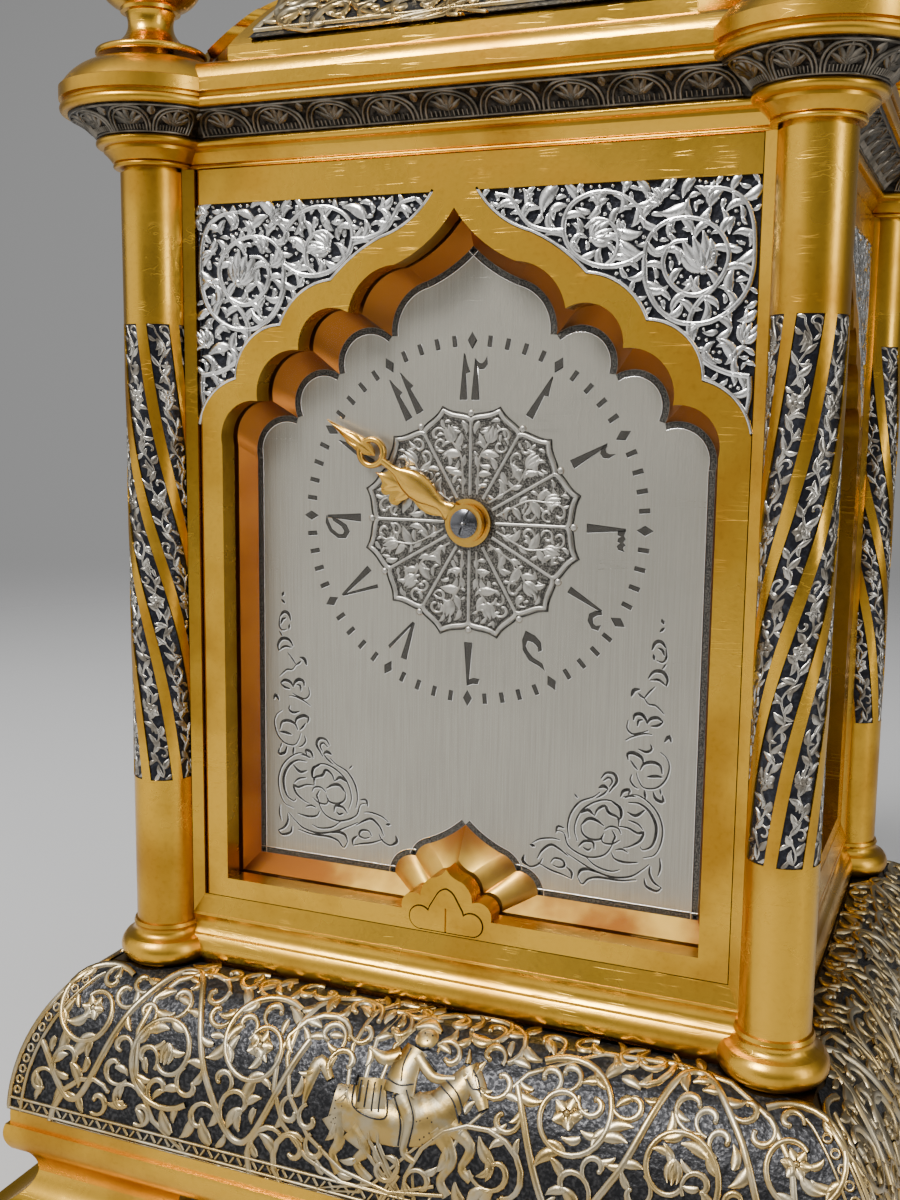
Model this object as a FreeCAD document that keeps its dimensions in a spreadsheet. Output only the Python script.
import FreeCAD, Part
import math
import os
from FreeCAD import Placement, Rotation, Vector

os.makedirs("parts", exist_ok=True)
doc = FreeCAD.newDocument("MantelClock")

# Driving dimensions, in millimetres and degrees
# The clock stands on its feet at height 0; its dial faces -Y and +X is to the right of the dial
SIZES = (
    ("column_span_x", 147.0, "between the column axes, left to right"),
    ("column_span_y", 134.0, "between the column axes, front to back"),
    ("column_radius", 7.4, "shaft of a corner column"),
    ("column_core_radius", 6.3, "shaft under the inlays and ribs"),
    ("column_foot_rise", 9.7, "foot of a shaft above the seat of the sill"),
    ("column_plain_foot", 35.8, "plain shaft below the ribs"),
    ("column_plain_head", 34.4, "plain shaft above the ribs"),
    ("rib_width_angle", 19.5, "part of the turn that one rib covers"),
    ("rib_turn_angle", 171.0, "turn of a rib from foot to head"),
    ("plinth_height", 28.0, "bracket feet and the moulding over them"),
    ("foot_length", 52.0, "bracket foot, along each side from its corner"),
    ("cushion_height", 37.5, "swelling base between plinth and sill"),
    ("sill_height", 11.7, "moulding that carries the frames"),
    ("front_height", 174.5, "frames between sill and lintel"),
    ("lintel_height", 6.1, "mouldings under the frieze"),
    ("frieze_height", 5.1, "hollow frieze"),
    ("cornice_height", 9.8, "mouldings over the frieze"),
    ("roof_height", 42.0, "bell roof over the cornice"),
    ("set_back", 1.3, "door fronts behind the line of the columns"),
    ("door_thickness", 5.2, "cast plate of doors and side panels"),
    ("door_gap", 0.2, "running gap round a door"),
    ("strip_width", 2.4, "bevelled frame strip beside a door"),
    ("rail_height", 4.4, "bevelled frame rail under a door"),
    ("door_stile", 6.3, "between the edge of the front door and its arched opening"),
    ("side_stile", 12.4, "between the edge of a side and its arched opening"),
    ("glass_thickness", 1.2, "window glass"),
    ("dial_depth", 11.3, "dial face behind the door front"),
    ("surround_thickness", 4.2, "sloping frame between door and dial"),
    ("dial_rise", 96.8, "dial centre above the sill"),
    ("dial_thickness", 1.5, "silvered dial plate"),
    ("rosette_radius", 26.4, "tips of the rosette's petals"),
    ("rosette_thickness", 0.4, "relief disc of the rosette"),
    ("minute_tip_radius", 41.2, "minute hand from centre to tip"),
    ("hour_tip_radius", 25.0, "hour hand from centre to tip"),
    ("hand_thickness", 0.9, "cast hands"),
    ("plate_radius", 46.0, "movement plates"),
    ("plate_thickness", 2.0, "movement plates"),
    ("plate_space", 30.0, "between the movement plates"),
    ("motion_space", 8.9, "between the dial and the movement"),
    ("arbor_radius", 1.2, "steel arbors of the train"),
    ("pivot_clearance", 0.05, "radial clearance of an arbor in its hole"),
    ("barrel_radius", 18.0, "mainspring barrel"),
    ("barrel_length", 18.0, "mainspring barrel along its arbor"),
    ("rod_radius", 2.0, "tie rod in each column"),
    ("hinge_pin_radius", 0.8, "door hinge pins"),
    ("balance_radius", 6.6, "balance wheel"),
    ("roof_relief_thickness", 1.1, "relief panels on the roof"),
    ("base_relief_thickness", 1.1, "relief panels on the cushion"),
)

sheet = doc.addObject("Spreadsheet::Sheet", "Sizes")
for row, (alias, number, note) in enumerate(SIZES, start=1):
    sheet.set("A%d" % row, note)
    sheet.set("B%d" % row, str(number))
    sheet.setAlias("B%d" % row, alias)
doc.recompute()


def size(alias):
    """A driving dimension, read from the sheet."""
    return float(sheet.get(alias))


UP = Vector(0, 0, 1)
BACK = Vector(0, 1, 0)
CENTRE = Vector(0, 0, 0)
SIDES = (("front", -90), ("right", 0), ("back", 90), ("left", 180))

# Levels above the table and planes that the pieces share
half_x = size("column_span_x") / 2
half_y = size("column_span_y") / 2
plinth_top = size("plinth_height")
cushion_top = plinth_top + size("cushion_height")
sill_top = cushion_top + size("sill_height")
lintel_z = sill_top + size("front_height")
frieze_z = lintel_z + size("lintel_height")
cornice_z = frieze_z + size("frieze_height")
deck_z = cornice_z + size("cornice_height")
column_foot = cushion_top + size("column_foot_rise")
front_y = -half_y + size("set_back")
side_x = half_x - size("set_back")
dial_y = front_y + size("dial_depth")
dial_z = sill_top + size("dial_rise")
surround_y = dial_y - size("surround_thickness")
dial_back = dial_y + size("dial_thickness")
frame_half = half_x - size("column_radius") - 0.1
side_half = half_y - size("column_radius") - 0.2
door_half = frame_half - size("strip_width") - size("door_gap")
door_bottom = sill_top + size("rail_height") + size("door_gap")
door_top = lintel_z - size("door_gap")
opening_half = door_half - size("door_stile")
side_opening_half = side_half - size("side_stile")
back_opening_half = opening_half - 7.1
rod_hole = size("rod_radius") + 0.1
inner_wall = -14.0

sub_parts = []


def keep(item, label):
    """Name a document object as a sub-part; its label names its file."""
    item.Label = label
    sub_parts.append(item)
    return item


def solid_part(label, shape):
    """A sub-part whose form is worked out from the sheet's sizes."""
    item = doc.addObject("Part::Feature", label)
    item.Shape = shape
    return keep(item, label)


def bound(kind, name, **expressions):
    """A primitive whose sizes and place follow the sheet; base_x means Placement.Base.x."""
    item = doc.addObject(kind, name)
    for key, text in expressions.items():
        target = "Placement.Base." + key[-1] if key.startswith("base_") else key
        item.setExpression(target, text)
    return item


def bound_cut(name, base, tool):
    """The first object less the second, as an object that follows both."""
    item = doc.addObject("Part::Cut", name)
    item.Base = base
    item.Tool = tool
    return item


def facing_back(item):
    """Stand a cylinder's axis along Y."""
    item.Placement = Placement(CENTRE, Rotation(Vector(1, 0, 0), -90))
    return item


# Outlines and solids that several pieces share

def walk(start, steps):
    """Edges from point to point in the XZ plane; a step of two points is an arc through the first."""
    edges = []
    here = Vector(start[0], 0, start[1])
    for step in steps:
        if isinstance(step[0], tuple):
            middle = Vector(step[0][0], 0, step[0][1])
            there = Vector(step[1][0], 0, step[1][1])
            edges.append(Part.Arc(here, middle, there).toShape())
        else:
            there = Vector(step[0], 0, step[1])
            edges.append(Part.LineSegment(here, there).toShape())
        here = there
    return edges


def outline(start, steps):
    """Closed wire in the XZ plane."""
    return Part.Wire(walk(start, steps))


def flat_face(start, steps):
    """Face inside a closed outline in the XZ plane."""
    return Part.Face(outline(start, steps))


def end_of(step):
    """Point where a step of an outline ends."""
    return step[1] if isinstance(step[0], tuple) else step


def with_mirror(start, half):
    """Steps down the right half of a symmetric outline and back up its left half."""
    corners = [start] + [end_of(step) for step in half]
    left = []
    for index in range(len(half) - 1, -1, -1):
        step = half[index]
        there = (-corners[index][0], corners[index][1])
        if isinstance(step[0], tuple):
            left.append(((-step[0][0], step[0][1]), there))
        else:
            left.append(there)
    return list(half) + left


def moved_steps(steps, across, up, stretch=1.0):
    """An outline's steps, stretched sideways and then moved."""
    moved = []
    for step in steps:
        if isinstance(step[0], tuple):
            moved.append(tuple((point[0] * stretch + across, point[1] + up) for point in step))
        else:
            moved.append((step[0] * stretch + across, step[1] + up))
    return moved


def box_between(low, high):
    """Box from its lowest to its highest corner."""
    return Part.makeBox(high[0] - low[0], high[1] - low[1], high[2] - low[2], Vector(*low))


def rod(radius, start, end):
    """Round bar between two points."""
    run = Vector(*end) - Vector(*start)
    return Part.makeCylinder(radius, run.Length, Vector(*start), run)


def joined(shapes):
    """One shape from pieces that touch or cross."""
    if len(shapes) == 1:
        return shapes[0]
    return shapes[0].fuse(list(shapes[1:])).removeSplitter()


def turned(shape, angle):
    """A copy turned about the clock's upright middle line."""
    copy = shape.copy()
    copy.rotate(CENTRE, UP, angle)
    return copy


def column_axes():
    """The four corners, as (x, y) of each column."""
    return [(sx * half_x, sy * half_y) for sy in (-1, 1) for sx in (-1, 1)]


def spun(start, steps, x, y, z):
    """Turned piece: a profile of radius against height that starts and ends on the axis."""
    shape = flat_face(start, list(steps) + [start]).revolve(CENTRE, UP, 360)
    shape.translate(Vector(x, y, z))
    return shape


def side_reach(turn):
    """Distance of a side's column line from the middle, and half the side's length."""
    return (half_x, half_y) if turn in (0, 180) else (half_y, half_x)


def mitred_side(section, turn):
    """Moulding along one side, from a section of (offset from the column line, height)."""
    reach, along = side_reach(turn)
    low = section.BoundBox.XMin - 1
    high = section.BoundBox.XMax + 1
    face = section.copy()
    face.translate(Vector(reach, -along - high, 0))
    bar = face.extrude(Vector(0, 2 * (along + high), 0))
    corners = [Vector(reach + low, -along - low, 0), Vector(reach + high, -along - high, 0),
               Vector(reach + high, along + high, 0), Vector(reach + low, along + low, 0)]
    wedge = Part.Face(Part.makePolygon(corners + corners[:1]))
    wedge.translate(Vector(0, 0, section.BoundBox.ZMin - 1))
    side = bar.common(wedge.extrude(Vector(0, 0, section.BoundBox.ZLength + 2)))
    return turned(side, turn)


def mitred_ring(section):
    """The same moulding on all four sides, as one piece."""
    return joined([mitred_side(section, turn) for name, turn in SIDES])


def closed_profile(start, steps, inner):
    """Close an outer profile, bottom to top, with a straight inner face."""
    last = end_of(steps[-1])
    return flat_face(start, list(steps) + [(inner, last[1]), (inner, start[1]), start])


def course(ring_start, ring_steps, boss_start, boss_steps, level):
    """Moulding round the case with a turned boss at each column, bored for the tie rods."""
    shape = mitred_ring(closed_profile(ring_start, ring_steps, inner_wall))
    boss = closed_profile(boss_start, boss_steps, 0).revolve(CENTRE, UP, 360)
    top = boss.BoundBox.ZMax
    for x, y in column_axes():
        here = boss.copy()
        here.translate(Vector(x, y, 0))
        shape = shape.fuse(here)
    for x, y in column_axes():
        shape = shape.cut(rod(rod_hole, (x, y, boss_start[1] - 1), (x, y, top + 1)))
    shape = shape.removeSplitter()
    shape.translate(Vector(0, 0, level))
    return shape


# Base: plinth with bracket feet, swelling cushion and its relief panels

sole_offset = 34.5
plinth_wall = 18.0
apron_rise = plinth_top - 6.5
cushion_foot = 27.4
swell_centre = 3.6
swell_reach = cushion_foot - swell_centre
swell_rise = size("cushion_height") + 1.0


def plinth():
    """Gilt plinth: half-round band, hollow waist and flared sole, cut away between the feet."""
    steps = [(sole_offset, 5.0), (33.0, 5.5), (33.0, 7.6), ((25.2, 10.2), (23.0, 14.5)),
             ((24.2, 18.9), (27.3, apron_rise)), ((28.6, apron_rise + 3.2), (28.2, plinth_top))]
    ring = mitred_ring(closed_profile((sole_offset, 0.0), steps, plinth_wall))
    for name, turn in SIDES:
        reach, along = side_reach(turn)
        half_gap = along + sole_offset - size("foot_length")
        gap = box_between((reach, -half_gap, -1), (reach + 60, half_gap, apron_rise))
        corners = [edge for edge in gap.Edges
                   if edge.BoundBox.YLength < 0.01 and edge.BoundBox.ZLength < 0.01
                   and edge.BoundBox.ZMax > 0]
        ring = ring.cut(turned(gap.makeFillet(6.0, corners), turn))
    ledge = flat_face((plinth_wall, apron_rise),
                      [(plinth_wall, plinth_top), (10.0, plinth_top), (10.0, plinth_top - 3), (plinth_wall, apron_rise)])
    return joined([ring, mitred_ring(ledge)])


def flank(grow, first, last):
    """Smooth edge on the cushion's flank, a quarter ellipse grown outwards, and its two ends."""
    points = []
    for index in range(13):
        angle = math.radians(first + (last - first) * index / 12)
        points.append(Vector(swell_centre + (swell_reach + grow) * math.cos(angle), 0,
                             plinth_top + (swell_rise + grow) * math.sin(angle)))
    curve = Part.BSplineCurve()
    curve.interpolate(points)
    return curve.toShape(), points[0], points[-1]


def section_between(outer, inner, corners):
    """Face between two flank edges, closed by straight runs through the given corner lists."""
    edges = [outer, inner]
    for chain in corners:
        for start, end in zip(chain[:-1], chain[1:]):
            edges.append(Part.LineSegment(start, end).toShape())
    return Part.Face(Part.Wire(Part.__sortEdges__(edges)))


def cushion():
    """Hollow gilt cushion under the relief panels, with a flat seat for the sill."""
    outer, foot, head = flank(0, 0, 76)
    inner, inner_foot, inner_head = flank(-3.5, 0, 66)
    seat = [head, Vector(head.x, 0, cushion_top), Vector(inner_wall, 0, cushion_top),
            Vector(inner_wall, 0, cushion_top - 4), Vector(inner_head.x, 0, cushion_top - 4), inner_head]
    shape = mitred_ring(section_between(outer, inner, [seat, [inner_foot, foot]]))
    for x, y in column_axes():
        shape = shape.cut(rod(rod_hole, (x, y, plinth_top), (x, y, cushion_top + 1)))
    return shape


def bare_corner(x, y):
    """Tall prism over the leaf-shaped bare corner where two relief panels stop short."""
    sx = math.copysign(1, x)
    sy = math.copysign(1, y)

    def plan(a, b):
        return Vector(x + sx * a, y + sy * b, plinth_top)

    edges = [Part.LineSegment(plan(-14, -14), plan(0.5, 9.5)).toShape(),
             Part.Arc(plan(0.5, 9.5), plan(8.5, 11.2), plan(14.5, 14.5)).toShape(),
             Part.Arc(plan(14.5, 14.5), plan(11.2, 8.5), plan(9.5, 0.5)).toShape(),
             Part.LineSegment(plan(9.5, 0.5), plan(-14, -14)).toShape()]
    return Part.Face(Part.Wire(edges)).extrude(Vector(0, 0, 2 * size("cushion_height")))


def base_relief():
    """Four silvered relief panels that wrap the cushion up to the sill and meet at its mitres."""
    layer = size("base_relief_thickness")
    sill_gap = 2.9
    boss_clearance = 10.95
    outer, outer_foot, outer_head = flank(layer, 5.5, 76)
    inner, inner_foot, inner_head = flank(0, 5.5, 76)
    shoulder = [outer_head, Vector(sill_gap, 0, cushion_top + layer), Vector(sill_gap, 0, cushion_top),
                Vector(inner_head.x, 0, cushion_top), inner_head]
    section = section_between(outer, inner, [[outer_foot, inner_foot], shoulder])
    panels = []
    for name, turn in SIDES:
        panel = mitred_side(section, turn)
        for x, y in column_axes():
            panel = panel.cut(bare_corner(x, y))
            panel = panel.cut(rod(boss_clearance, (x, y, cushion_top - 2), (x, y, cushion_top + 4)))
        panels.append(panel)
    return Part.makeCompound(panels)


solid_part("base_plinth", plinth())
solid_part("base_cushion", cushion())
solid_part("base_relief_panels", base_relief())

# Floor plate inside the base, on the plinth's ledge
floor_blank = bound("Part::Box", "floor_blank", Length="Sizes.column_span_x + 40",
                    Width="Sizes.column_span_y + 40", Height="2",
                    base_x="-Sizes.column_span_x / 2 - 20", base_y="-Sizes.column_span_y / 2 - 20",
                    base_z="Sizes.plinth_height")
keep(floor_blank, "floor_plate")


# Sill, columns with spiral ribs and silvered inlays, tie rods

def sill():
    """Moulding that carries the frames; its bosses are the columns' moulded feet."""
    shape = course((1.7, 0.0), [((2.7, 3.4), (1.6, 6.6)), (1.0, 7.0), ((0.0, 9.0), (0.3, 11.2)),
                                (0.1, size("sill_height"))],
                   (9.6, 0.0), [(10.4, 0.6), ((11.3, 3.6), (10.0, 6.0)), (9.1, 6.4), ((8.1, 7.4), (8.2, 8.9)),
                                (7.9, size("column_foot_rise"))], cushion_top)
    for x, y in column_axes():
        shape = shape.cut(rod(size("column_radius") + 0.05, (x, y, column_foot), (x, y, sill_top + 1)))
    return shape


rib_count = 6
rib_foot = column_foot + size("column_plain_foot")
rib_head = lintel_z - size("column_plain_head")
rib_ease = 0.45


def turned_sector(inner, outer, angle, width, hand):
    """Sector of a tube that twists in an S curve: turn x (t - ease sin(2 pi t) / 2 pi)."""
    steps = 10
    wires = []
    for index in range(steps + 1):
        t = index / steps
        twist = size("rib_turn_angle") * (t - rib_ease * math.sin(2 * math.pi * t) / (2 * math.pi))
        middle = angle + hand * twist
        z = rib_foot + (rib_head - rib_foot) * t

        def at(radius, degrees):
            return Vector(radius * math.cos(math.radians(degrees)), radius * math.sin(math.radians(degrees)), z)

        first = middle - width / 2
        last = middle + width / 2
        wires.append(Part.Wire([Part.Arc(at(outer, first), at(outer, middle), at(outer, last)).toShape(),
                                Part.LineSegment(at(outer, last), at(inner, last)).toShape(),
                                Part.Arc(at(inner, last), at(inner, middle), at(inner, first)).toShape(),
                                Part.LineSegment(at(inner, first), at(outer, first)).toShape()]))
    return Part.makeLoft(wires, True, False)


def column(hand, phase):
    """Gilt shaft: plain ends, a thinner core between them and the spiral ribs, bored for its rod."""
    radius = size("column_radius")
    core = size("column_core_radius")
    shape = spun((0, column_foot), [(radius, column_foot), (radius, rib_foot), (core, rib_foot), (core, rib_head),
                                    (radius, rib_head), (radius, lintel_z - 0.8), (core + 0.3, lintel_z - 0.8),
                                    (core + 0.3, lintel_z), (0, lintel_z)], 0, 0, 0)
    for index in range(rib_count):
        angle = phase + index * 360 / rib_count
        shape = shape.fuse(turned_sector(core - 0.4, radius + 0.05, angle, size("rib_width_angle"), hand))
    return shape.cut(rod(rod_hole, (0, 0, column_foot - 1), (0, 0, lintel_z + 1)))


def inlays(hand, phase):
    """Six silvered strips between the ribs of one column."""
    strip = 360 / rib_count - size("rib_width_angle") - 1.0
    strips = []
    for index in range(rib_count):
        angle = phase + (index + 0.5) * 360 / rib_count
        strips.append(turned_sector(size("column_core_radius") + 0.03, size("column_radius") - 0.3, angle, strip, hand))
    return strips


def placed(shapes, x, y):
    """Copies moved to a column's axis."""
    moved = []
    for shape in shapes:
        copy = shape.copy()
        copy.translate(Vector(x, y, 0))
        moved.append(copy)
    return moved


solid_part("sill_moulding", sill())
left_foot_angle = 27.7
right_foot_angle = 19.0
left_column = column(-1, left_foot_angle)
right_column = column(1, right_foot_angle)
left_inlays = inlays(-1, left_foot_angle)
right_inlays = inlays(1, right_foot_angle)
COLUMNS = (("column_front_left", -1, -1), ("column_front_right", 1, -1),
           ("column_back_left", -1, 1), ("column_back_right", 1, 1))
all_inlays = []
for label, sx, sy in COLUMNS:
    rising_left = sx * sy > 0
    shaft = left_column if rising_left else right_column
    strips = left_inlays if rising_left else right_inlays
    solid_part(label, placed([shaft], sx * half_x, sy * half_y)[0])
    all_inlays += placed(strips, sx * half_x, sy * half_y)
solid_part("column_inlays", Part.makeCompound(all_inlays))


# Lintel, frieze and cornice

def lintel():
    """Gilt neck bead, hollow and bead under the frieze."""
    ring = [((-1.9, 0.5), (-2.3, 1.1)), (-2.0, 1.3), ((-1.5, 2.1), (-0.5, 3.4)), (-0.5, 4.1), (0.3, 4.3),
            ((1.1, 5.2), (0.6, size("lintel_height")))]
    boss = [((8.9, 0.5), (8.5, 1.1)), (9.0, 1.3), ((9.6, 2.1), (10.9, 3.4)), (10.9, 4.1), (11.8, 4.3),
            ((12.6, 5.2), (12.1, size("lintel_height")))]
    return course((-2.4, 0.0), ring, (8.3, 0.0), boss, lintel_z)


def frieze():
    """Dark silvered hollow band."""
    high = size("frieze_height")
    return course((0.6, 0.0), [((2.9, 2.6), (7.1, high - 0.2)), (7.1, high)],
                  (12.0, 0.0), [((14.4, 2.6), (18.5, high - 0.2)), (18.5, high)], frieze_z)


boss_rise = 1.9


def cornice():
    """Gilt bead, groove, fascia and rounded top, closed by a deck; the bosses rise above the deck."""
    high = size("cornice_height")
    ring = [((8.9, 1.1), (8.3, 2.1)), (7.9, 2.2), (7.9, 2.8), (9.0, 3.0), (9.0, 5.7), (8.6, 5.9),
            ((7.4, 8.4), (4.9, high))]
    boss = [((20.3, 1.1), (19.7, 2.1)), (19.3, 2.2), (19.3, 2.8), (20.4, 3.0), (20.4, 5.7), (20.0, 5.9),
            ((16.6, 9.6), (11.9, high + boss_rise))]
    shape = course((8.0, 0.0), ring, (19.4, 0.0), boss, cornice_z)
    wide = half_x + inner_wall + 1
    deep = half_y + inner_wall + 1
    deck = box_between((-wide, -deep, deck_z - 3), (wide, deep, deck_z))
    return joined([shape, deck])


solid_part("frieze_band", frieze())
solid_part("cornice", cornice())


def tie_rods():
    """A rod through each column, with a nut under the cushion's seat; the finials screw on above."""
    rods = []
    low = cushion_top - 4
    for x, y in column_axes():
        bar = rod(size("rod_radius"), (x, y, low - 4), (x, y, deck_z + boss_rise + 8))
        nut = rod(5.0, (x, y, low - 3.5), (x, y, low))
        rods.append(joined([bar, nut]))
    return Part.makeCompound(rods)


solid_part("tie_rods", tie_rods())


# Roof: bell-shaped, with cut corners, relief panels, corner leaves and finials

roof_border = 3.0
roof_seam = 0.2
BELL = ((4.2, 3.0), (0.6, 7.0), (-3.6, 11.0), (-8.4, 14.8), (-14.2, 18.2), (-21.0, 21.4), (-28.6, 24.6),
        (-36.0, 28.6), (-42.0, 33.4), (-46.0, 38.4), (-47.5, 42.0))
bell_scale = size("roof_height") / BELL[-1][1]


def cut_corner_plan(offset, z):
    """Eight-sided wire: a rectangle on the column lines plus an offset, with its corners cut off."""
    a = half_x + offset
    b = half_y + offset
    leg = max(4.0, 27.0 - 0.55 * (4.6 - offset))
    points = [(-a + leg, -b), (a - leg, -b), (a, -b + leg), (a, b - leg), (a - leg, b), (-a + leg, b),
              (-a, b - leg), (-a, -b + leg)]
    corners = [Vector(x, y, z) for x, y in points]
    return Part.makePolygon(corners + corners[:1])


def bell(grow):
    """Roof body, grown outwards, standing on the deck."""
    wires = [cut_corner_plan(offset + grow, deck_z + rise * bell_scale) for offset, rise in BELL]
    upper = Part.makeLoft(wires, True, False)
    foot = Part.Face(cut_corner_plan(BELL[0][0] + grow, deck_z)).extrude(Vector(0, 0, roof_border * bell_scale))
    return joined([foot, upper])


def roof():
    """Gilt bell roof with a moulded cap; its foot is scooped round the column bosses."""
    top = deck_z + size("roof_height")
    wide = half_x + BELL[-1][0]
    deep = half_y + BELL[-1][0]
    cap = box_between((-wide - 2.2, -deep - 2.2, top), (wide + 2.2, deep + 2.2, top + 2.4))
    step = box_between((-wide + 2, -deep + 2, top + 2.4), (wide - 2, deep - 2, top + 4.4))
    shape = joined([bell(0).cut(bell(-2.6)), cap, step])
    for x, y in column_axes():
        shape = shape.cut(rod(15.9, (x, y, deck_z - 1), (x, y, deck_z + boss_rise + 1.2)))
    return shape


def roof_relief():
    """Relief panel on each flank, a layer cut to a tapering outline."""
    layer = bell(size("roof_relief_thickness") + roof_seam).cut(bell(roof_seam))
    panels = []
    for name, turn in SIDES:
        reach, along = side_reach(turn)
        foot = along + 4.6 - 27.0 - 5.5
        head = along - 46.0
        rise = [(foot, deck_z + 4.2), (head + 8, deck_z + 22.0), (-head - 8, deck_z + 22.0), (-foot, deck_z + 4.2)]
        tool = flat_face(rise[-1], rise).extrude(Vector(0, -reach - 30, 0))
        tool.rotate(CENTRE, UP, turn + 90)
        panels += layer.common(tool).Solids
    return Part.makeCompound(panels)


def roof_leaves():
    """Acanthus leaf on each cut corner of the roof, behind the corner finial."""
    layer = bell(3.2).cut(bell(roof_seam))
    half = [((4.6, 18.0), (5.0, 14.8)), ((7.0, 14.6), (7.6, 12.8)), ((7.4, 11.2), (6.4, 10.4)), ((8.6, 9.8), (8.8, 7.4)),
            ((7.6, 5.4), (0.0, 5.0))]
    blade = flat_face((0.0, 20.0), with_mirror((0.0, 20.0), half))
    leaves = []
    for x, y in column_axes():
        prism = blade.extrude(Vector(0, 60, 0))
        prism.rotate(CENTRE, UP, math.degrees(math.atan2(y, x)) + 90)
        prism.translate(Vector(x, y, deck_z))
        pieces = layer.common(prism).cut(rod(13.2, (x, y, deck_z), (x, y, deck_z + 9))).Solids
        leaves.append(max(pieces, key=lambda solid: solid.Volume))
    return Part.makeCompound(leaves)


FINIAL = ((5.0, 0.0), (5.0, 1.2), (11.8, 1.2), ((12.3, 1.9), (11.4, 2.8)), ((8.2, 3.7), (6.4, 5.2)),
          ((5.0, 8.2), (5.6, 10.8)), (6.6, 11.0), (6.6, 11.8), ((11.6, 17.5), (7.6, 25.0)), (5.0, 26.4),
          (5.0, 27.2), ((6.0, 28.4), (4.6, 29.6)), (2.6, 31.0), ((3.3, 33.8), (0.6, 36.8)), (0.0, 36.8))


def corner_finials():
    """Four turned urns on the column bosses, each tapped for its tie rod."""
    finials = []
    level = deck_z + boss_rise
    for x, y in column_axes():
        urn = spun((0, 0), FINIAL, x, y, level)
        finials.append(urn.cut(rod(size("rod_radius"), (x, y, level - 1), (x, y, level + 8))))
    return Part.makeCompound(finials)


def top_finial():
    """Larger urn on the roof's cap."""
    steps = [(12.0, 0.0), (12.0, 1.6), ((9.6, 3.0), (7.6, 5.4)), ((6.2, 8.6), (7.0, 11.4)), (8.4, 11.8), (8.4, 13.0),
             ((14.6, 20.4), (9.6, 29.4)), (6.4, 31.0), (6.4, 32.2), ((7.6, 33.8), (5.8, 35.4)), (3.4, 37.2),
             ((4.3, 40.8), (0.8, 44.8)), (0.0, 44.8)]
    return spun((0, 0), steps, 0, 0, deck_z + size("roof_height") + 4.4)


solid_part("roof", roof())
solid_part("roof_relief_panels", roof_relief())
solid_part("roof_corner_leaves", roof_leaves())
solid_part("corner_finials", corner_finials())
solid_part("top_finial", top_finial())


# Front: fixed frame, hinged door with silvered spandrels, glass and sprung catch

drawn_half = 57.1
ARCH = [((6.4, 59.6), (13.7, 55.4)), ((21.6, 51.9), (24.8, 45.6)), ((33.6, 45.2), (37.1, 37.6)),
        ((45.3, 34.6), (47.7, 26.3)), ((54.9, 23.9), (57.1, 16.0)), (57.1, -87.6)]
ARCH_TOP = (0.0, 66.6)
ARCH_FOOT = [(10.8, -87.6), ((9.9, -84.3), (6.3, -83.9)), ((5.6, -81.3), (3.6, -79.4)), ((1.6, -78.6), (0.0, -76.9))]
DIAL_TOP = (0.0, 60.1)
DIAL_EDGE = [((5.0, 56.0), (10.9, 52.9)), ((17.9, 47.7), (19.4, 41.0)), ((29.4, 41.6), (32.6, 32.6)),
             ((41.2, 32.2), (43.5, 22.6)), ((51.6, 21.2), (54.4, 13.0)), (54.4, -84.0), (17.8, -84.0),
             ((16.2, -80.2), (12.6, -79.1)), ((11.4, -77.0), (8.8, -75.5)), ((5.0, -73.6), (0.0, -69.8))]
SPANDREL = [((9.6, 64.6), (17.0, 60.9)), ((23.6, 57.1), (29.0, 52.3)), ((37.8, 48.6), (41.7, 42.8)),
            ((50.6, 38.6), (53.3, 31.0)), ((59.5, 27.6), (63.2, 20.5)), (63.2, 70.0), (4.8, 70.0)]
hinge_x = door_half - 1.8
hinge_y = front_y + 1.7
door_back = front_y + size("door_thickness")
front_stretch = opening_half / drawn_half
spandrel_edge = 63.2
lip_half = door_half - 3.4
lip_low = dial_z - 91.0
lip_high = dial_z + 75.4
pocket_low = dial_z - 91.7
pocket_high = dial_z + 76.2
pocket_half = door_half - 1.6
running = 0.05


def raised_face(start, steps, y, rise=None):
    """Face in an upright plane, its outline measured from the dial's centre."""
    level = dial_z if rise is None else rise
    face = flat_face((start[0], start[1] + level), moved_steps(steps, 0, level))
    face.translate(Vector(0, y, 0))
    return face


def arch_steps(stretch, foot):
    """Whole outline of an arched opening, narrowed or widened, with or without its foot's rise."""
    half = ARCH + (ARCH_FOOT if foot else [(0.0, -87.6)])
    return moved_steps(with_mirror(ARCH_TOP, half), 0, 0, stretch)


def pair(steps_face):
    """A face and its mirror image across the middle."""
    return [steps_face, steps_face.mirror(CENTRE, Vector(1, 0, 0))]


def spandrel_faces(y, reach, stretch):
    """The two corner fields over an arch, out to a given half width."""
    steps = moved_steps(SPANDREL[:-3], 0, 0, stretch)
    last = (spandrel_edge * stretch, 20.5)
    steps += [((59.5 * stretch, 27.6), last), (reach, last[1]), (reach, 70.0), (4.8 * stretch, 70.0)]
    if abs(reach - last[0]) < 0.001:
        steps.remove((reach, last[1]))
    return pair(raised_face((4.8 * stretch, 70.0), steps, y))


def bevel_void(half, low, inner_half, inner_low, plane, proud):
    """Space in front of a bevelled border: an opening that widens towards the front."""
    top = lintel_z + 1
    plan = [Vector(-inner_half, plane, low), Vector(inner_half, plane, low), Vector(half, proud, low),
            Vector(-half, proud, low)]
    side = [Vector(-half, plane, inner_low), Vector(-half, plane, top), Vector(-half, proud, top),
            Vector(-half, proud, low)]
    prism = Part.Face(Part.makePolygon(plan + plan[:1])).extrude(Vector(0, 0, top - low))
    return prism.common(Part.Face(Part.makePolygon(side + side[:1])).extrude(Vector(2 * half, 0, 0)))


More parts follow.
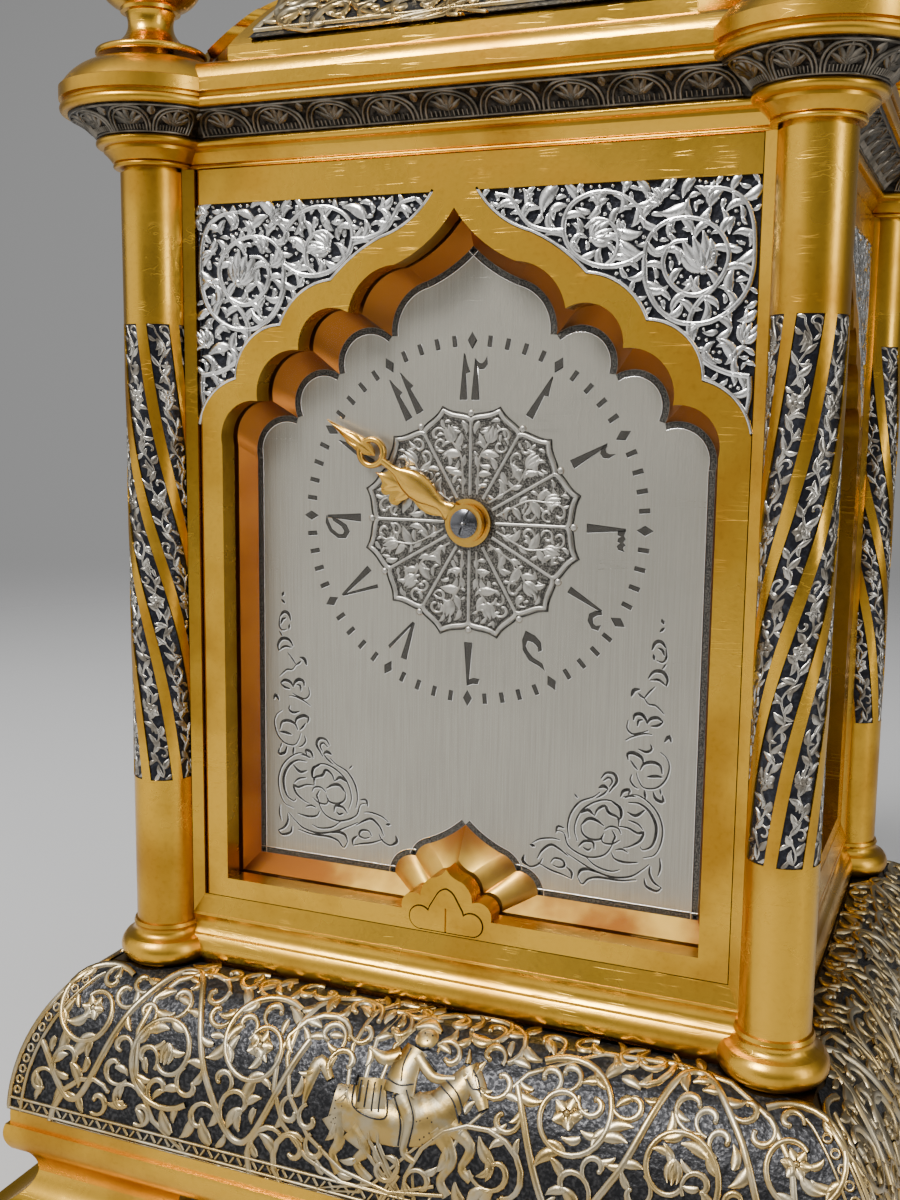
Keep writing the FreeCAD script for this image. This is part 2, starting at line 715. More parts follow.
def hinge_clearance():
    """Corner outside the turning circle of a door's hinge edge, front left."""
    block = box_between((-door_half - 1, front_y - 1, door_bottom - 1), (-hinge_x, hinge_y, door_top + 1))
    return block.cut(rod(1.85, (-hinge_x, hinge_y, door_bottom - 2), (-hinge_x, hinge_y, door_top + 2)))


def door_blank():
    """Door plate with its hinge edge rounded, its inner hinge corner bevelled and its pin holes."""
    plate = box_between((-door_half, front_y, door_bottom), (door_half, door_back, door_top))
    inner_corner = [edge for edge in plate.Edges
                    if edge.BoundBox.XMax < 0 and edge.BoundBox.YMin > door_back - 0.01
                    and edge.BoundBox.ZLength > 10]
    plate = plate.makeChamfer(1.0, inner_corner).cut(hinge_clearance())
    bore = size("hinge_pin_radius") + running
    for low, high in ((door_bottom - 1, door_bottom + 6), (door_top - 5, door_top + 1)):
        plate = plate.cut(rod(bore, (-hinge_x, hinge_y, low), (-hinge_x, hinge_y, high)))
    return plate


def turned_half(shape):
    """The same piece for the back: turned half round about the upright middle line."""
    return turned(shape, 180)


def button(grow, start, end):
    """Trefoil of the catch button between two planes, grown outwards by a clearance."""
    tongue = raised_face((0.0, -81.6), [((-1.3, -82.2), (-2.2, -83.3)), (-3.9, -86.2), (-5.6, -91.6), (5.6, -91.6),
                                        (3.9, -86.2), (2.2, -83.3), ((1.3, -82.2), (0.0, -81.6))], start)
    if grow:
        tongue = tongue.makeOffset2D(grow)
    lobes = [rod(2.6 + grow, (side * 6.2, start, dial_z - 89.0), (side * 6.2, end, dial_z - 89.0)) for side in (-1, 1)]
    return joined([tongue.extrude(Vector(0, end - start, 0))] + lobes)


def front_frame():
    """Bevelled frame round the door, with a lip inside it and a pocket behind the lip for the dial."""
    gap = size("door_gap")
    shape = box_between((-frame_half, -half_y, sill_top), (frame_half, dial_back, lintel_z))
    shape = shape.cut(bevel_void(frame_half, sill_top, door_half + gap, door_bottom - gap, front_y, -half_y))
    shape = shape.cut(box_between((-door_half - gap, -half_y - 1, door_bottom - gap),
                                  (door_half + gap, door_back + gap, lintel_z + 1)))
    shape = shape.cut(box_between((-lip_half, -half_y, lip_low), (lip_half, dial_back + 1, lip_high)))
    shape = shape.cut(box_between((-pocket_half - 0.1, surround_y, pocket_low),
                                  (pocket_half + 0.1, dial_back + 1, pocket_high + 0.1)))
    return shape.cut(rod(size("hinge_pin_radius"), (-hinge_x, hinge_y, sill_top + 1), (-hinge_x, hinge_y, door_bottom)))


def front_door():
    """Door with its arched opening, spandrel recesses and the pocket and guide hole of the catch."""
    shape = door_blank()
    shape = shape.cut(raised_face(ARCH_TOP, arch_steps(front_stretch, True), front_y - 1).extrude(Vector(0, 8, 0)))
    for face in spandrel_faces(front_y - 1, door_half + 1, (door_half - 0.2) / spandrel_edge):
        shape = shape.cut(face.extrude(Vector(0, 2.5, 0)))
    shape = shape.cut(button(0.3, front_y - 1, front_y + 3.5))
    return shape.cut(rod(0.9, (0, front_y, dial_z - 89), (0, door_back + 1, dial_z - 89)))


def spandrels():
    """Two silvered plates in the recesses over the door's arch."""
    plates = []
    for face in spandrel_faces(front_y + 0.1, door_half - 0.2, (door_half - 0.2) / spandrel_edge):
        plates.append(face.extrude(Vector(0, 1.4, 0)).cut(hinge_clearance()))
    return Part.makeCompound(plates)


def catch():
    """Trefoil button with a score down its middle and a stem in the door's guide hole."""
    shape = button(0, front_y - 0.2, front_y + 2.2)
    shape = shape.cut(box_between((-0.2, front_y - 1, dial_z - 92), (0.2, front_y + 0.3, dial_z - 86)))
    return joined([shape, rod(0.8, (0, front_y + 1.5, dial_z - 89), (0, door_back - 1.5, dial_z - 89))])


def clips():
    """Small stepped plates that hold the window glass against the back of the door."""
    thick = size("glass_thickness")
    pieces = []
    for x in (13.1 - opening_half, 0.0, opening_half - 13.1):
        for low, high, foot_low, foot_high in ((68.0, 72.5, 69.2, 72.5), (-90.7, -87.9, -90.7, -88.6)):
            if x == 0.0 and low < 0:
                continue
            foot = box_between((x - 3, door_back, dial_z + foot_low), (x + 3, door_back + thick, dial_z + foot_high))
            lip = box_between((x - 3, door_back + thick, dial_z + low), (x + 3, door_back + thick + 0.5, dial_z + high))
            pieces.append(joined([foot, lip]))
    return Part.makeCompound(pieces)


def pins():
    """Hinge pins of both doors: the lower ones in the frames' rails, the upper ones in the lintel."""
    pieces = []
    radius = size("hinge_pin_radius")
    for low, high in ((sill_top + 1, door_bottom + 5.5), (door_top - 4.5, lintel_z + 3)):
        pin = rod(radius, (-hinge_x, hinge_y, low), (-hinge_x, hinge_y, high))
        pieces += [pin, turned_half(pin)]
    return Part.makeCompound(pieces)


def pinned_lintel(shape):
    """Lintel with the holes of the upper hinge pins."""
    pin = rod(size("hinge_pin_radius"), (-hinge_x, hinge_y, lintel_z - 1), (-hinge_x, hinge_y, lintel_z + 3))
    return shape.cut(pin).cut(turned_half(pin))


solid_part("lintel_moulding", pinned_lintel(lintel()))
solid_part("front_frame", front_frame())
solid_part("front_door", front_door())
solid_part("door_spandrels", spandrels())
glass_width = ("(Sizes.column_span_x - 2 * (Sizes.column_radius + 0.1 + Sizes.strip_width + Sizes.door_gap"
               " + Sizes.door_stile) + 4.4)")
glass = bound("Part::Box", "glass_blank", Length=glass_width, Width="Sizes.glass_thickness", Height="157.5",
              base_x="-0.5 * " + glass_width)
glass.setExpression("Placement.Base.y", "-Sizes.column_span_y / 2 + Sizes.set_back + Sizes.door_thickness")
glass.setExpression("Placement.Base.z", "Sizes.plinth_height + Sizes.cushion_height + Sizes.sill_height"
                    " + Sizes.dial_rise - 88.5")
keep(glass, "front_glass")
solid_part("glass_clips", clips())
solid_part("catch_button", catch())
solid_part("hinge_pins", pins())


# Dial: sloping surround, silvered plate, rosette

def surround():
    """Sloping frame between the door's opening and the dial's edge."""
    block = box_between((-pocket_half, surround_y, pocket_low), (pocket_half, dial_y, pocket_high))
    near = outline((ARCH_TOP[0], ARCH_TOP[1] + dial_z), moved_steps(arch_steps(front_stretch, True), 0, dial_z))
    far = outline((DIAL_TOP[0], DIAL_TOP[1] + dial_z), moved_steps(with_mirror(DIAL_TOP, DIAL_EDGE), 0, dial_z, front_stretch))
    near.translate(Vector(0, surround_y, 0))
    far.translate(Vector(0, dial_y, 0))
    return block.cut(Part.makeLoft([near, far], True, True))


def petal_steps(radius, count):
    """Outline with ogee-tipped petals, drawn point by point round the circle."""
    points = []
    for index in range(count * 8):
        angle = 2 * math.pi * index / (count * 8)
        share = abs(((index / 8 + 0.5) % 1) - 0.5) * 2
        ogee = 0.88 + 0.12 * (1 - share) ** 2 if share > 0.5 else 0.91 + 0.09 * (1 - 2 * share) ** 1.5
        points.append((radius * ogee * math.sin(angle + math.pi / count),
                       radius * ogee * math.cos(angle + math.pi / count)))
    return points


def rosette():
    """Twelve-petalled relief disc at the dial's centre."""
    points = petal_steps(size("rosette_radius"), 12)
    disc = raised_face(points[0], points[1:] + points[:1], dial_y - size("rosette_thickness"))
    disc = disc.extrude(Vector(0, size("rosette_thickness"), 0))
    return disc.cut(rod(4.3, (0, dial_y - 5, dial_z), (0, dial_y + 5, dial_z)))


solid_part("dial_surround", surround())
dial_blank = bound("Part::Box", "dial_blank", Width="Sizes.dial_thickness")
dial_blank.Length = 2 * pocket_half
dial_blank.Height = pocket_high - pocket_low
dial_blank.Placement = Placement(Vector(-pocket_half, dial_y, pocket_low), Rotation())
dial_hole = facing_back(bound("Part::Cylinder", "dial_hole", Height="Sizes.dial_thickness + 2"))
dial_hole.Radius = 4.3
dial_hole.Placement.Base = Vector(0, dial_y - 1, dial_z)
keep(bound_cut("dial_cut", dial_blank, dial_hole), "dial_plate")
solid_part("dial_rosette", rosette())


# Hands and the motion work behind the dial; each hand stands at its angle clockwise from twelve

minute_angle = -57.0
hour_angle = -65.0
hour_tube_radius = 3.6
cannon_radius = 2.85
hour_hand_y = dial_y - 1.5
minute_hand_y = dial_y - 2.8


def on_dial(shape, angle):
    """A piece drawn at twelve o'clock, turned clockwise to an angle."""
    shape.rotate(Vector(0, 0, dial_z), BACK, angle)
    return shape


def along_y(radius, x, z, start, end):
    """Round bar across the clock; x and z are measured from the dial's centre."""
    return rod(radius, (x, start, dial_z + z), (x, end, dial_z + z))


def blade(start, half, y):
    """Flat symmetric blade of a hand."""
    face = raised_face(start, with_mirror(start, half), y)
    return face.extrude(Vector(0, size("hand_thickness"), 0))


def minute_hand():
    """Hub with a raised collar, baluster body, ring and a slim leaf for its tip."""
    y = minute_hand_y
    end = y + size("hand_thickness")
    tip = size("minute_tip_radius")
    body = blade((0, 24.8), [(0.8, 24.8), (0.8, 21.8), ((1.0, 20.2), (1.9, 18.6)), ((3.1, 14.5), (1.9, 9.6)),
                             ((1.2, 7.6), (2.2, 5.0)), (2.2, 3.6), (0, 3.6)], y)
    leaf = blade((0, tip), [((0.8, tip - 4.7), (1.5, 33.0)), ((1.7, 30.6), (0.5, 27.2)), (0, 27.0)], y)
    ring = along_y(3.6, 0, 27.7, y, end).cut(along_y(2.3, 0, 27.7, y - 1, end + 1))
    hub = along_y(4.25, 0, 0, y - 0.8, end).cut(along_y(3.5, 0, 0, y - 1, y - 0.4))
    collar = along_y(3.4, 0, 0, y - 0.8, y)
    shape = joined([body, ring, leaf, hub, collar]).cut(along_y(cannon_radius, 0, 0, y - 2, end + 1))
    return on_dial(shape, minute_angle)


def hour_hand():
    """Hub, baluster body and a cluster of leaves for its tip."""
    y = hour_hand_y
    tip = size("hour_tip_radius")
    body = blade((0, tip), [((0.7, tip - 1.6), (1.6, 22.4)), ((3.4, 21.6), (2.6, 19.6)), ((4.6, 18.6), (3.2, 16.6)),
                            ((1.4, 15.8), (1.1, 14.4)), ((2.6, 10.5), (1.6, 6.6)), (1.6, 4.4), (0, 4.4)], y)
    hub = along_y(5.4, 0, 0, y, y + size("hand_thickness"))
    shape = joined([body, hub]).cut(along_y(hour_tube_radius, 0, 0, y - 1, y + 2))
    return on_dial(shape, hour_angle)


def hand_screw():
    """Domed steel screw with a slot and a small centre knob, screwed into the cannon."""
    y = minute_hand_y - 0.8
    dome = spun((0, 0), [(3.2, 0.0), (3.2, 0.2), ((2.0, 0.64), (0.0, 0.8))], 0, 0, 0)
    dome = joined([dome, Part.makeCylinder(0.8, 1.0)])
    dome = dome.cut(box_between((-4, -0.25, 0.4), (4, 0.25, 3)))
    dome = joined([dome, Part.makeCylinder(1.2, 2.0, Vector(0, 0, -2))])
    dome.rotate(CENTRE, Vector(1, 0, 0), 90)
    dome.translate(Vector(0, y, dial_z))
    return dome


front_plate_y = dial_back + size("motion_space")
train_y = front_plate_y + size("plate_thickness")
back_plate_y = train_y + size("plate_space")
back_face_y = back_plate_y + size("plate_thickness")


def polar(origin, distance, direction):
    """Point at a distance and direction, in degrees from +X towards +Z."""
    angle = math.radians(direction)
    return (origin[0] + distance * math.cos(angle), origin[1] + distance * math.sin(angle))


def inv(angle):
    """Involute function."""
    return math.tan(angle) - angle


def tooth_points(teeth, module, addendum, phase):
    """Outline of an involute gear at 20 degrees, its flanks in straight pieces; a tooth stands at phase."""
    pitch = teeth * module / 2
    base = pitch * math.cos(math.radians(20))
    root = pitch - 1.1 * module
    tip = pitch + addendum * module
    levels = [root, pitch, tip] if teeth > 30 else [root, max(root + 0.05, min(base, pitch - 0.1)), pitch, tip]
    halves = []
    for radius in levels:
        lean = inv(math.acos(min(1.0, base / radius)))
        halves.append(math.pi / 2 / teeth - 0.07 / pitch + inv(math.radians(20)) - lean)
    points = []
    for index in range(teeth):
        middle = math.radians(phase) + 2 * math.pi * index / teeth
        for radius, half in list(zip(levels, halves)) + list(zip(levels, halves))[::-1]:
            side = -1 if len(points) % (2 * len(levels)) < len(levels) else 1
            angle = middle + side * half
            points.append((radius * math.cos(angle), radius * math.sin(angle)))
    return points


def gear(at, teeth, module, addendum, phase, start, end, arms=0, hub=0.0):
    """Wheel or pinion between two planes; wheels with arms are crossed out."""
    points = tooth_points(teeth, module, addendum, phase)
    wires = [outline(points[0], points[1:] + points[:1])]
    rim = teeth * module / 2 - 1.1 * module - 1.4
    for index in range(arms):
        first = math.radians(360 / arms * index + 8)
        last = math.radians(360 / arms * (index + 1) - 8)
        middle = (first + last) / 2
        spread = math.radians(10)

        def spot(radius, angle):
            return (radius * math.cos(angle), radius * math.sin(angle))

        start_at = spot(rim, first)
        wires.append(outline(start_at, [(spot(rim, middle), spot(rim, last)), spot(hub, last - spread),
                                        (spot(hub, middle), spot(hub, first + spread)), start_at]))
    face = Part.makeFace(wires, "Part::FaceMakerBullseye")
    face.translate(Vector(at[0], start, dial_z + at[1]))
    return face.extrude(Vector(0, end - start, 0))


def meshing(direction, teeth):
    """Phase of a follower whose tooth space faces back along a direction."""
    return direction + 180 + 180 / teeth


def arbor(at, radius, start, end, pivot=0.7):
    """Arbor between shoulders, with a thinner pivot at each end that fills its plate."""
    body = along_y(radius, at[0], at[1], start, end)
    return joined([body, along_y(pivot, at[0], at[1], start - 1.9, end + 1.9)])


centre = (0.0, 0.0)
barrel_at = polar(centre, 22.5, 250)
third_at = polar(centre, 20.25, 60)
fourth_at = polar(third_at, 17.0, 150)
escape_at = polar(fourth_at, 13.5, 190)
lever_at = polar(escape_at, 8.2, 230)
balance_at = polar(lever_at, 8.0, 230)
minute_wheel_at = polar(centre, 12.0, 330)
click_at = polar(barrel_at, 12.0, 20)
shake = 0.1
fit = size("pivot_clearance")
cannon_low = front_plate_y - 3.0
hour_wheel_y = dial_back + 2.9
cock_y = back_face_y + 6.0
PILLARS = ((-30.0, -30.0), (30.0, -30.0), (30.0, 30.0), (-30.0, 30.0))


def cannon():
    """Tube that carries the minute hand, with the cannon pinion at its inner end."""
    tube = along_y(cannon_radius, 0, 0, minute_hand_y - 0.8, cannon_low + 0.1)
    pinion = gear(centre, 12, 0.5, 0.6, 330, cannon_low, front_plate_y - shake)
    return joined([tube, pinion]).cut(along_y(1.25, 0, 0, minute_hand_y - 2, front_plate_y + 1))


def minute_wheel():
    """Minute wheel and its pinion, turning on a stud."""
    wheel = gear(minute_wheel_at, 36, 0.5, 0.5, meshing(330, 36), cannon_low + 0.5, cannon_low + 1.7)
    pinion = gear(minute_wheel_at, 10, 0.48, 0.6, 150, hour_wheel_y - 0.3, cannon_low + 0.6)
    shape = joined([wheel, pinion])
    return shape.cut(along_y(0.85, minute_wheel_at[0], minute_wheel_at[1], dial_back, front_plate_y))


def hour_wheel():
    """Hour wheel on the tube that carries the hour hand."""
    wheel = gear(centre, 40, 0.48, 0.5, meshing(150, 40), hour_wheel_y, hour_wheel_y + 1.2)
    tube = along_y(hour_tube_radius, 0, 0, hour_hand_y, hour_wheel_y + 1.2)
    collar = along_y(4.8, 0, 0, dial_back + 0.3, hour_wheel_y)
    return joined([wheel, tube, collar]).cut(along_y(cannon_radius + fit, 0, 0, hour_hand_y - 2, hour_wheel_y + 3))


solid_part("minute_hand", minute_hand())
solid_part("hour_hand", hour_hand())
solid_part("hand_screw", hand_screw())
solid_part("cannon_pinion", cannon())
solid_part("minute_wheel", minute_wheel())
solid_part("hour_wheel", hour_wheel())


# Movement: plates, going train, spring barrel and lever escapement

def pierced(shape, holes, start):
    """Plate with round holes through it, each given as ((x, z), radius)."""
    for at, radius in holes:
        shape = shape.cut(along_y(radius, at[0], at[1], start - 1, start + size("plate_thickness") + 1))
    return shape


def front_plate():
    """Front plate with pivot holes, pillar holes and the stud of the minute wheel."""
    plate = along_y(size("plate_radius"), 0, 0, front_plate_y, train_y)
    pivots = [(at, 0.7 + fit) for at in (third_at, fourth_at, escape_at, barrel_at)]
    plate = pierced(plate, pivots + [(centre, size("arbor_radius") + fit)] + [(at, 1.2) for at in PILLARS], front_plate_y)
    return joined([plate, along_y(0.8, minute_wheel_at[0], minute_wheel_at[1], hour_wheel_y - 0.5, front_plate_y)])


def back_plate():
    """Back plate with pivot holes, pillar holes and the stud of the click."""
    plate = along_y(size("plate_radius"), 0, 0, back_plate_y, back_face_y)
    pivots = [(at, 0.7 + fit) for at in (centre, third_at, fourth_at, lever_at, balance_at)]
    wide = [(escape_at, 1.6), (barrel_at, 2.0 + fit)]
    plate = pierced(plate, pivots + wide + [(at, 1.2) for at in PILLARS], back_plate_y)
    return joined([plate, along_y(1.0, click_at[0], click_at[1], back_face_y, back_face_y + 2.2)])


def pillars():
    """Four pillars between the plates, each with a stud through both and a nut behind."""
    pieces = []
    for x, z in PILLARS:
        nut = along_y(2.4, x, z, back_face_y, back_face_y + 1.6)
        stud = along_y(1.2, x, z, front_plate_y, back_face_y + 2)
        pieces.append(joined([along_y(2.6, x, z, train_y, back_plate_y), stud, nut]))
    return Part.makeCompound(pieces)


def dial_feet():
    """Four posts that carry the movement behind the dial plate."""
    return Part.makeCompound([along_y(2.6, x, z, dial_back, front_plate_y) for x, z in PILLARS])


def barrel():
    """Spring barrel: a drum with its toothed rim in front and a lid behind."""
    start = train_y + 8
    end = start + size("barrel_length")
    x, z = barrel_at
    drum = along_y(size("barrel_radius"), x, z, start, end)
    rim = gear(barrel_at, 80, 0.5, 0.5, 70, start, start + 2)
    shape = joined([drum, rim]).cut(along_y(size("barrel_radius") - 1.4, x, z, start + 2, end - 1))
    return shape.cut(along_y(2.0 + fit, x, z, start - 1, end + 1))


def spiral(at, first, last, turns, band, start, end):
    """Flat spiral band."""
    inner = []
    outer = []
    count = int(turns * 20)
    for index in range(count + 1):
        angle = 2 * math.pi * index / 20
        radius = first + (last - first) * index / count
        inner.append((radius * math.cos(angle), radius * math.sin(angle)))
        outer.append(((radius + band) * math.cos(angle), (radius + band) * math.sin(angle)))
    loop = inner + outer[::-1]
    face = Part.Face(outline(loop[0], loop[1:] + loop[:1]))
    face.translate(Vector(at[0], start, dial_z + at[1]))
    return face.extrude(Vector(0, end - start, 0))


def winding_arbor():
    """Barrel arbor with its hook boss, the ratchet behind the back plate and a square for the key."""
    x, z = barrel_at
    start = train_y + shake
    shape = joined([along_y(2.0, x, z, start, back_face_y + 4), along_y(3.6, x, z, start + 10, start + 24.7),
                    along_y(0.7, x, z, front_plate_y + 0.1, start)])
    square = box_between((x - 1.6, back_face_y + 4, dial_z + z - 1.6), (x + 1.6, back_face_y + 12, dial_z + z + 1.6))
    points = []
    for index in range(24):
        angle = 2 * math.pi * index / 24
        points.append((8.0 * math.cos(angle), 8.0 * math.sin(angle)))
        points.append((7.1 * math.cos(angle + 0.03), 7.1 * math.sin(angle + 0.03)))
    face = Part.Face(outline(points[0], points[1:] + points[:1]))
    face.translate(Vector(x, back_face_y + 0.3, dial_z + z))
    return joined([shape, square, face.extrude(Vector(0, 1.2, 0))])


def click():
    """Click on its stud, its nose just clear of the ratchet."""
    arm = flat_face((1.6, 1.6), [(1.6, -1.6), (-0.4, -5.6), (-2.6, -6.4), (-1.6, -1.6), (-1.6, 1.6), (1.6, 1.6)])
    shape = arm.extrude(Vector(0, 1.2, 0))
    shape.rotate(CENTRE, BACK, -20)
    shape.translate(Vector(click_at[0], back_face_y + 0.3, dial_z + click_at[1]))
    boss = along_y(2.2, click_at[0], click_at[1], back_face_y + 0.1, back_face_y + 2.0)
    return joined([shape, boss]).cut(along_y(1.0 + fit, click_at[0], click_at[1], back_face_y - 1, back_face_y + 4))


def centre_wheel():
    """Centre wheel, its pinion and the long arbor that drives the hands."""
    start = train_y + 2
    wheel = gear(centre, 80, 0.45, 0.5, 60, start, start + 1.4, 5, 5.0)
    pinion = gear(centre, 10, 0.5, 0.6, meshing(70, 10), train_y + 7.8, train_y + 10.2)
    hub = along_y(4.4, 0, 0, start, start + 3)
    shaft = along_y(size("arbor_radius"), 0, 0, minute_hand_y + 1.2, back_plate_y - shake)
    pivot = along_y(0.7, 0, 0, back_plate_y - 1, back_face_y - 0.1)
    shoulder = along_y(2.0, 0, 0, train_y + shake, start)
    return joined([wheel, pinion, hub, shaft, pivot, shoulder])


def train_wheel(at, teeth, module, phase, start, pinion_module, pinion_phase, pinion_start, end=None):
    """Wheel and pinion on an arbor that runs between the plates."""
    wheel = gear(at, teeth, module, 0.5, phase, start, start + 1.2, 5, 3.6)
    hub = along_y(3.2, at[0], at[1], start - 0.6, start + 1.8)
    pinion = gear(at, 10, pinion_module, 0.6, pinion_phase, pinion_start, pinion_start + 1.8)
    return joined([wheel, hub, pinion, arbor(at, size("arbor_radius"), train_y + shake, back_plate_y - shake)])


def escape_wheel():
    """Escape wheel with pointed teeth behind the back plate, and its pinion between the plates."""
    points = []
    for index in range(15):
        angle = 2 * math.pi * index / 15
        points.append((5.0 * math.cos(angle), 5.0 * math.sin(angle)))
        points.append((3.7 * math.cos(angle + 0.07), 3.7 * math.sin(angle + 0.07)))
        points.append((3.7 * math.cos(angle + 0.25), 3.7 * math.sin(angle + 0.25)))
    face = Part.Face(outline(points[0], points[1:] + points[:1]))
    face.translate(Vector(escape_at[0], back_face_y + 1, dial_z + escape_at[1]))
    pinion = gear(escape_at, 10, 0.3, 0.6, meshing(190, 10), train_y + 10.8, train_y + 12.4)
    shaft = along_y(size("arbor_radius"), escape_at[0], escape_at[1], train_y + shake, cock_y - shake)
    pivot = along_y(0.7, escape_at[0], escape_at[1], front_plate_y + 0.1, cock_y + 1.4)
    return joined([face.extrude(Vector(0, 0.6, 0)), pinion, shaft, pivot])


def lever():
    """Lever with two pallets clear of the escape wheel and a forked tail clear of the impulse pin."""
    tail = flat_face((-1.3, -1.0), [(1.3, -1.0), (0.6, -4.0), (1.4, -5.3), (0.7, -5.45), (0.0, -4.4), (-0.7, -5.45),
                                    (-1.4, -5.3), (-0.6, -4.0), (-1.3, -1.0)])
    arms = flat_face((0.0, -1.4), [(2.2, -0.8), (4.5, 2.7), (3.6, 3.4), (0.0, 1.2), (-3.6, 3.4), (-4.5, 2.7), (-2.2, -0.8),
                                   (0.0, -1.4)])
    shape = joined([face.extrude(Vector(0, 0.6, 0)) for face in (tail, arms)])
    shape.rotate(CENTRE, BACK, 40)
    shape.translate(Vector(lever_at[0], back_face_y + 1, dial_z + lever_at[1]))
    x, z = lever_at
    return joined([shape, along_y(1.2, x, z, back_face_y + shake, back_face_y + 2.4),
                   along_y(0.7, x, z, back_plate_y + 0.1, cock_y + 1.4)])


def balance():
    """Balance wheel with two arms, staff, roller and impulse pin."""
    x, z = balance_at
    radius = size("balance_radius")
    start = back_face_y + 3.0
    rim = along_y(radius, x, z, start, start + 1.2).cut(along_y(radius - 1.3, x, z, start - 1, start + 3))
    bar = box_between((x - radius + 0.5, start + 0.2, dial_z + z - 0.7), (x + radius - 0.5, start + 1.0, dial_z + z + 0.7))
    pin_at = polar(balance_at, 2.0, 50)
    pieces = [rim, bar, along_y(1.0, x, z, back_face_y + shake, cock_y - shake),
              along_y(0.7, x, z, back_plate_y + 0.1, cock_y + 1.4), along_y(2.7, x, z, back_face_y + 2.0, back_face_y + 2.5),
              along_y(0.3, pin_at[0], pin_at[1], back_face_y + 0.9, back_face_y + 2.1)]
    return joined(pieces)


def cock():
    """Bridge over the escapement, standing on the back plate on two feet."""
    first = polar(escape_at, 9.0, 50)
    last = polar(balance_at, 12.5, 230)
    angle = math.degrees(math.atan2(last[1] - first[1], last[0] - first[0]))
    long = math.hypot(last[0] - first[0], last[1] - first[1])
    bar = box_between((0, 0, -2.6), (long, 1.5, 2.6))
    bar = joined([bar, rod(2.6, (0, 0, 0), (0, 1.5, 0)), rod(2.6, (long, 0, 0), (long, 1.5, 0))])
    bar.rotate(CENTRE, BACK, -angle)
    bar.translate(Vector(first[0], cock_y, dial_z + first[1]))
    feet = [along_y(2.4, at[0], at[1], back_face_y, cock_y) for at in (first, last)]
    shape = joined([bar] + feet)
    for at in (escape_at, lever_at, balance_at):
        shape = shape.cut(along_y(0.7 + fit, at[0], at[1], cock_y - 1, cock_y + 2))
    return shape


solid_part("front_plate", front_plate())
solid_part("back_plate", back_plate())
solid_part("plate_pillars", pillars())
solid_part("dial_feet", dial_feet())
solid_part("spring_barrel", barrel())
solid_part("mainspring", spiral(barrel_at, 3.8, 15.3, 7, 0.9, train_y + 11, train_y + 24))
solid_part("winding_arbor", winding_arbor())
solid_part("ratchet_click", click())
solid_part("centre_wheel", centre_wheel())
solid_part("third_wheel", train_wheel(third_at, 75, 0.4, 150, train_y + 6.0, 0.45, meshing(60, 10), train_y + 1.8))
solid_part("fourth_wheel", train_wheel(fourth_at, 80, 0.3, 190, train_y + 11.0, 0.4, meshing(150, 10), train_y + 5.7))
solid_part("escape_wheel", escape_wheel())
solid_part("escape_lever", lever())
solid_part("balance_wheel", balance())
solid_part("hairspring", spiral(balance_at, 1.2, 5.2, 5, 0.16, back_face_y + 4.8, back_face_y + 5.2))
solid_part("escapement_cock", cock())


# Sides and back

def side_panel():
    """Fixed side: bevelled border, arched opening, spandrel recesses and a rebate for its glass."""
    stretch = side_opening_half / drawn_half
    inner = side_half - size("strip_width")
    low = sill_top + size("rail_height")
    plane = -side_x
    shape = box_between((-side_half, -half_x, sill_top), (side_half, plane + size("door_thickness"), lintel_z))
    shape = shape.cut(bevel_void(side_half, sill_top, inner, low, plane, -half_x))
    border = box_between((-inner, plane - 1, low), (inner, plane + 0.9, lintel_z + 1))
    border = border.cut(box_between((-inner + 0.3, plane - 2, low + 0.3), (inner - 0.3, plane + 2, lintel_z + 2)))
    shape = shape.cut(border)
    shape = shape.cut(box_between((-inner, -half_x - 1, low), (inner, plane, lintel_z + 1)))
    shape = shape.cut(raised_face(ARCH_TOP, arch_steps(stretch, False), plane - 1).extrude(Vector(0, 8, 0)))
    for face in spandrel_faces(plane - 1, inner - 2.0, stretch):
        shape = shape.cut(face.extrude(Vector(0, 2.5, 0)))
    wide = side_opening_half + 2.2
    back = plane + size("door_thickness")
    return shape.cut(box_between((-wide, back - size("glass_thickness"), dial_z - 90), (wide, back + 1, dial_z + 69)))


def side_spandrel_plates():
    """Silvered plates over the arch of one side."""
    stretch = side_opening_half / drawn_half
    inner = side_half - size("strip_width")
    return [face.extrude(Vector(0, 1.4, 0)) for face in spandrel_faces(-side_x + 0.1, inner - 2.2, stretch)]


def side_glass():
    """Glass in the rebate of one side."""
    wide = side_opening_half + 2.1
    back = -side_x + size("door_thickness")
    return box_between((-wide, back - size("glass_thickness"), dial_z - 90), (wide, back, dial_z + 68.9))


panel = side_panel()
solid_part("right_panel", turned(panel, 90))
solid_part("left_panel", turned(panel, -90))
plates = side_spandrel_plates()
solid_part("side_spandrels", Part.makeCompound([turned(plate, angle) for plate in plates for angle in (90, -90)]))
solid_part("side_glasses", Part.makeCompound([turned(side_glass(), angle) for angle in (90, -90)]))

knob_x = door_half - 5.8


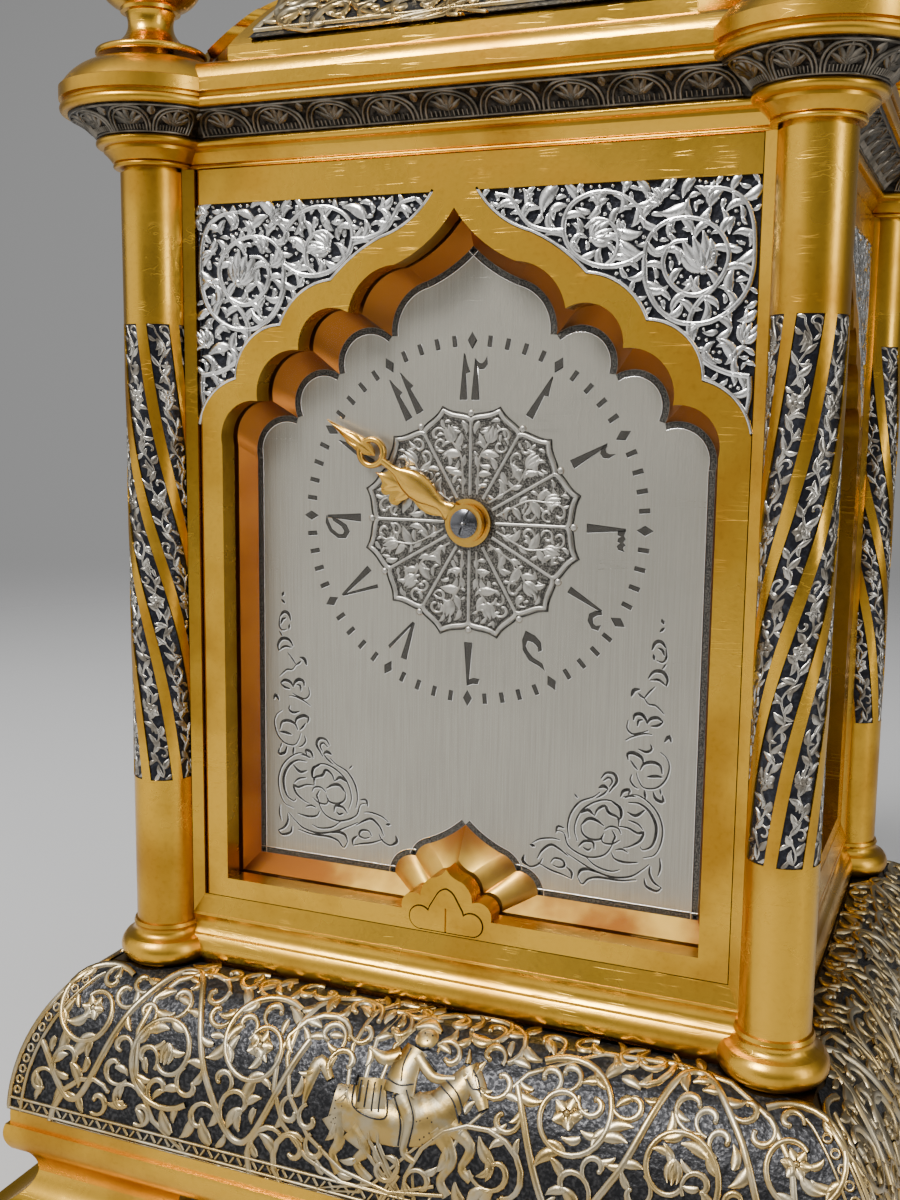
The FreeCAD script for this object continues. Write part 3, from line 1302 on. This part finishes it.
def back_frame():
    """Back frame like the front one, its opening clear for winding; drawn at the front and turned."""
    gap = size("door_gap")
    shape = box_between((-frame_half, -half_y, sill_top), (frame_half, door_back + gap + 2.3, lintel_z))
    shape = shape.cut(bevel_void(frame_half, sill_top, door_half + gap, door_bottom - gap, front_y, -half_y))
    shape = shape.cut(box_between((-door_half - gap, -half_y - 1, door_bottom - gap),
                                  (door_half + gap, door_back + gap, lintel_z + 1)))
    shape = shape.cut(box_between((-lip_half, -half_y, lip_low), (lip_half, door_back + 9, lip_high)))
    pin = rod(size("hinge_pin_radius"), (-hinge_x, hinge_y, sill_top + 1), (-hinge_x, hinge_y, door_bottom))
    return turned_half(shape.cut(pin))


def back_door():
    """Back door with a plain arched opening, a rebate for its glass and the latch's hole."""
    thick = size("glass_thickness")
    shape = door_blank()
    shape = shape.cut(raised_face(ARCH_TOP, arch_steps(back_opening_half / drawn_half, False), front_y - 1).extrude(Vector(0, 8, 0)))
    wide = back_opening_half + 1.8
    shape = shape.cut(box_between((-wide, door_back - thick, dial_z - 89), (wide, door_back + 1, dial_z + 69)))
    return turned_half(shape.cut(rod(1.3, (knob_x, front_y - 1, dial_z), (knob_x, door_back + 1, dial_z))))


def back_glass():
    """Glass in the rebate of the back door."""
    thick = size("glass_thickness")
    wide = back_opening_half + 1.7
    return turned_half(box_between((-wide, door_back - thick, dial_z - 89), (wide, door_back, dial_z + 68.9)))


def back_knob():
    """Turning latch of the back door: knob, stem and a tongue that hangs behind the frame's lip."""
    x = knob_x
    z = dial_z
    knob = rod(3.4, (x, front_y - 4.4, z), (x, front_y - 1.4, z))
    collar = rod(2.0, (x, front_y - 1.5, z), (x, front_y, z))
    stem = rod(1.25, (x, front_y - 1, z), (x, door_back + 4.0, z))
    tongue = box_between((x - 1.6, door_back + 2.8, z - 6.5), (x + 1.6, door_back + 4.0, z + 1.6))
    return turned_half(joined([knob, collar, stem, tongue]))


solid_part("back_frame", back_frame())
solid_part("back_door", back_door())
solid_part("back_glass", back_glass())
solid_part("back_knob", back_knob())


# Check every object, then write each sub-part to its own file
doc.recompute()
for item in doc.Objects:
    if "Invalid" in item.State or "Error" in item.State:
        raise RuntimeError("%s is %s" % (item.Name, item.State))
for item in sub_parts:
    if item.Shape.isNull() or not item.Shape.isValid():
        raise RuntimeError("%s has no valid shape" % item.Label)
for item in sub_parts:
    item.Shape.exportStep("parts/%s.step" % item.Label)
